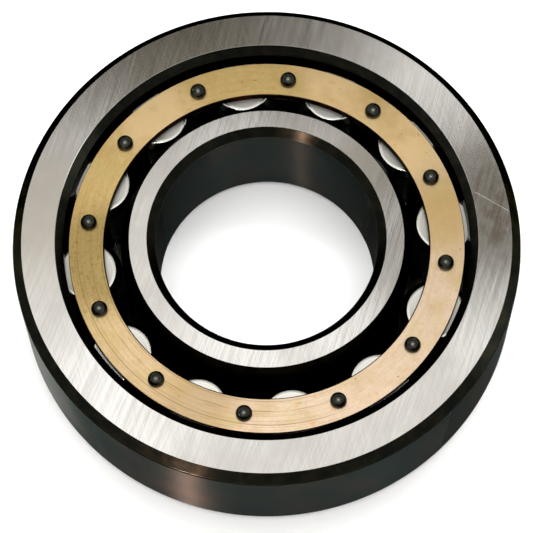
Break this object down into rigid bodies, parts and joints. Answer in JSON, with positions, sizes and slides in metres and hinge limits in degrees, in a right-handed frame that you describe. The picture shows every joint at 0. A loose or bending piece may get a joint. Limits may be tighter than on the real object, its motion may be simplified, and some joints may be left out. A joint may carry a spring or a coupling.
{
  "type": "cylindrical roller bearing",
  "caption": "Cylindrical roller bearing: ribbed outer ring, inner ring with a rib at its far end, and steel rollers held in a machined brass cage closed by a riveted cover.",
  "frame": {"origin": "centre of the bearing on its axis, midway between the two side faces", "axes": "+Z along the bearing's axis towards the side where the inner ring has no rib and the cage's cover shows; the first roller is centred on +X"},
  "size_m": [0.08, 0.08, 0.021],
  "materials": {
    "ring_steel": "ground side faces with straight grinding lines; honed raceways, ribs, bore and outside",
    "roller_steel": "superfinished rolling surface with fine-ground ends",
    "cage_brass": "machined brass, satin, with turning lines",
    "rivet_steel": "dark oiled steel, semi-gloss"
  },
  "bodies": {
    "outer_ring": {"outer_ring": "ring_steel"},
    "inner_ring": {"inner_ring": "ring_steel"},
    "cage": {"cage_body": "cage_brass", "cage_cover": "cage_brass", "rivet_01": "rivet_steel", "rivet_02": "rivet_steel", "rivet_03": "rivet_steel", "rivet_04": "rivet_steel", "rivet_05": "rivet_steel", "rivet_06": "rivet_steel", "rivet_07": "rivet_steel", "rivet_08": "rivet_steel", "rivet_09": "rivet_steel", "rivet_10": "rivet_steel", "rivet_11": "rivet_steel", "rivet_12": "rivet_steel"},
    "roller_01": {"roller_01": "roller_steel"},
    "roller_02": {"roller_02": "roller_steel"},
    "roller_03": {"roller_03": "roller_steel"},
    "roller_04": {"roller_04": "roller_steel"},
    "roller_05": {"roller_05": "roller_steel"},
    "roller_06": {"roller_06": "roller_steel"},
    "roller_07": {"roller_07": "roller_steel"},
    "roller_08": {"roller_08": "roller_steel"},
    "roller_09": {"roller_09": "roller_steel"},
    "roller_10": {"roller_10": "roller_steel"},
    "roller_11": {"roller_11": "roller_steel"},
    "roller_12": {"roller_12": "roller_steel"}
  },
  "joints": [
    {"name": "inner_ring_spin", "type": "hinge", "parent": "outer_ring", "child": "inner_ring", "pos_m": [0, 0, 0], "axis": [0, 0, 1], "continuous": true},
    {"name": "cage_spin", "type": "hinge", "parent": "outer_ring", "child": "cage", "pos_m": [0, 0, 0], "axis": [0, 0, 1], "continuous": true},
    {"name": "roller_01_spin", "type": "hinge", "parent": "cage", "child": "roller_01", "pos_m": [0.0286, 0, 0], "axis": [0, 0, 1], "continuous": true},
    {"name": "roller_02_spin", "type": "hinge", "parent": "cage", "child": "roller_02", "pos_m": [0.02477, 0.0143, 0], "axis": [0, 0, 1], "continuous": true},
    {"name": "roller_03_spin", "type": "hinge", "parent": "cage", "child": "roller_03", "pos_m": [0.0143, 0.02477, 0], "axis": [0, 0, 1], "continuous": true},
    {"name": "roller_04_spin", "type": "hinge", "parent": "cage", "child": "roller_04", "pos_m": [0, 0.0286, 0], "axis": [0, 0, 1], "continuous": true},
    {"name": "roller_05_spin", "type": "hinge", "parent": "cage", "child": "roller_05", "pos_m": [-0.0143, 0.02477, 0], "axis": [0, 0, 1], "continuous": true},
    {"name": "roller_06_spin", "type": "hinge", "parent": "cage", "child": "roller_06", "pos_m": [-0.02477, 0.0143, 0], "axis": [0, 0, 1], "continuous": true},
    {"name": "roller_07_spin", "type": "hinge", "parent": "cage", "child": "roller_07", "pos_m": [-0.0286, 0, 0], "axis": [0, 0, 1], "continuous": true},
    {"name": "roller_08_spin", "type": "hinge", "parent": "cage", "child": "roller_08", "pos_m": [-0.02477, -0.0143, 0], "axis": [0, 0, 1], "continuous": true},
    {"name": "roller_09_spin", "type": "hinge", "parent": "cage", "child": "roller_09", "pos_m": [-0.0143, -0.02477, 0], "axis": [0, 0, 1], "continuous": true},
    {"name": "roller_10_spin", "type": "hinge", "parent": "cage", "child": "roller_10", "pos_m": [0, -0.0286, 0], "axis": [0, 0, 1], "continuous": true},
    {"name": "roller_11_spin", "type": "hinge", "parent": "cage", "child": "roller_11", "pos_m": [0.0143, -0.02477, 0], "axis": [0, 0, 1], "continuous": true},
    {"name": "roller_12_spin", "type": "hinge", "parent": "cage", "child": "roller_12", "pos_m": [0.02477, -0.0143, 0], "axis": [0, 0, 1], "continuous": true}
  ],
  "couplings": [
    {"joint": "cage_spin", "follows": "inner_ring_spin", "ratio": 0.40385},
    {"joint": "roller_01_spin", "follows": "inner_ring_spin", "ratio": -2.5038},
    {"joint": "roller_02_spin", "follows": "inner_ring_spin", "ratio": -2.5038},
    {"joint": "roller_03_spin", "follows": "inner_ring_spin", "ratio": -2.5038},
    {"joint": "roller_04_spin", "follows": "inner_ring_spin", "ratio": -2.5038},
    {"joint": "roller_05_spin", "follows": "inner_ring_spin", "ratio": -2.5038},
    {"joint": "roller_06_spin", "follows": "inner_ring_spin", "ratio": -2.5038},
    {"joint": "roller_07_spin", "follows": "inner_ring_spin", "ratio": -2.5038},
    {"joint": "roller_08_spin", "follows": "inner_ring_spin", "ratio": -2.5038},
    {"joint": "roller_09_spin", "follows": "inner_ring_spin", "ratio": -2.5038},
    {"joint": "roller_10_spin", "follows": "inner_ring_spin", "ratio": -2.5038},
    {"joint": "roller_11_spin", "follows": "inner_ring_spin", "ratio": -2.5038},
    {"joint": "roller_12_spin", "follows": "inner_ring_spin", "ratio": -2.5038}
  ]
}
